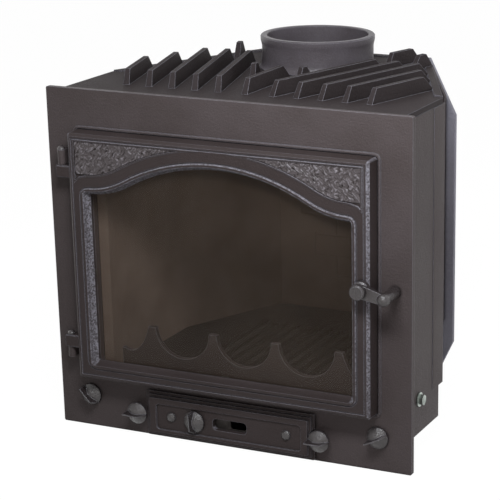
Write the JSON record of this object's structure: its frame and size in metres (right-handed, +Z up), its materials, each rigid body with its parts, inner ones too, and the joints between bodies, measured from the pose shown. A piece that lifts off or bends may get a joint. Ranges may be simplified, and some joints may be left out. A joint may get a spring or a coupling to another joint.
{
  "type": "fireplace insert",
  "caption": "Cast-iron fireplace insert with an arched glass door, finned top, round flue collar and an ash drawer with air controls.",
  "frame": {"origin": "on the underside plane, on the middle line of the insert, 200 mm behind the facade's front face", "axes": "+X to the viewer's right when facing the door, +Y into the wall, +Z up"},
  "size_m": [0.7, 0.6297, 0.687],
  "materials": {
    "painted_cast_iron": "satin heat-proof paint over sand-cast iron",
    "dark_cast_iron": "matt dark brown-black cast iron",
    "lining_iron": "raw cast lining, matt",
    "steel": "plain sheet and turned steel",
    "zinc": "zinc plated",
    "glass_fibre_rope": "woven glass-fibre seal",
    "ceramic_glass": "clear ceramic glass"
  },
  "bodies": {
    "insert": {"front_frame": "painted_cast_iron", "top_plate": "dark_cast_iron", "flue_collar": "painted_cast_iron", "side_wall_left": "dark_cast_iron", "side_wall_right": "dark_cast_iron", "rear_wall": "dark_cast_iron", "rear_bolt_left_lower": "steel", "rear_bolt_left_upper": "steel", "rear_bolt_right_lower": "steel", "rear_bolt_right_upper": "steel", "base_plate": "dark_cast_iron", "ash_box": "dark_cast_iron", "grate": "lining_iron", "log_guard": "dark_cast_iron", "fireback": "lining_iron", "side_liner_left": "lining_iron", "side_liner_right": "lining_iron", "baffle": "lining_iron", "side_bolt_left": "zinc", "side_bolt_right": "zinc", "hinge_pin_upper": "steel", "hinge_pin_lower": "steel"},
    "door": {"door_frame": "painted_cast_iron", "door_glass": "ceramic_glass", "glass_gasket": "glass_fibre_rope", "door_rope": "glass_fibre_rope", "glass_clip_left": "steel", "glass_clip_right": "steel", "glass_clip_lower": "steel", "glass_clip_upper": "steel", "clip_screw_left": "steel", "clip_screw_right": "steel", "clip_screw_lower": "steel", "clip_screw_upper": "steel"},
    "latch": {"latch_lever": "painted_cast_iron", "latch_bar": "dark_cast_iron", "latch_pivot": "dark_cast_iron"},
    "left_air_knob": {"knob_corner_left": "dark_cast_iron", "air_valve_left": "steel"},
    "right_air_knob": {"knob_corner_right": "dark_cast_iron", "air_valve_right": "steel"},
    "left_ash_knob": {"knob_ash_left": "dark_cast_iron", "shaft_nut_left": "steel"},
    "right_ash_knob": {"knob_ash_right": "dark_cast_iron", "shaft_nut_right": "steel"},
    "ash_drawer": {"ash_door": "painted_cast_iron", "slider_guide": "steel", "ash_rivet_left": "dark_cast_iron", "ash_rivet_right": "dark_cast_iron", "ash_pan": "steel"},
    "air_slide": {"air_slider": "steel", "slider_knob": "dark_cast_iron"}
  },
  "joints": [
    {"name": "door_hinge", "type": "hinge", "parent": "insert", "child": "door", "pos_m": [-0.3105, -0.222, 0.331], "axis": [0, 0, -1], "range_deg": [0, 110]},
    {"name": "latch_turn", "type": "hinge", "parent": "door", "child": "latch", "pos_m": [0.276, -0.245, 0.34], "axis": [0, -1, 0], "range_deg": [0, 50]},
    {"name": "left_air_turn", "type": "hinge", "parent": "insert", "child": "left_air_knob", "pos_m": [-0.287, -0.2, 0.0615], "axis": [0, -1, 0], "range_deg": [-45, 45]},
    {"name": "right_air_turn", "type": "hinge", "parent": "insert", "child": "right_air_knob", "pos_m": [0.287, -0.2, 0.0615], "axis": [0, -1, 0], "range_deg": [-60, 30]},
    {"name": "left_ash_turn", "type": "hinge", "parent": "insert", "child": "left_ash_knob", "pos_m": [-0.1845, -0.2, 0.043], "axis": [0, -1, 0], "range_deg": [0, 90]},
    {"name": "right_ash_turn", "type": "hinge", "parent": "insert", "child": "right_ash_knob", "pos_m": [0.1795, -0.2, 0.043], "axis": [0, -1, 0], "range_deg": [0, 90]},
    {"name": "ash_drawer_slide", "type": "slide", "parent": "insert", "child": "ash_drawer", "axis": [0, -1, 0], "range_m": [0, 0.3]},
    {"name": "air_slide_move", "type": "slide", "parent": "ash_drawer", "child": "air_slide", "axis": [1, 0, 0], "range_m": [-0.012, 0.012]}
  ]
}
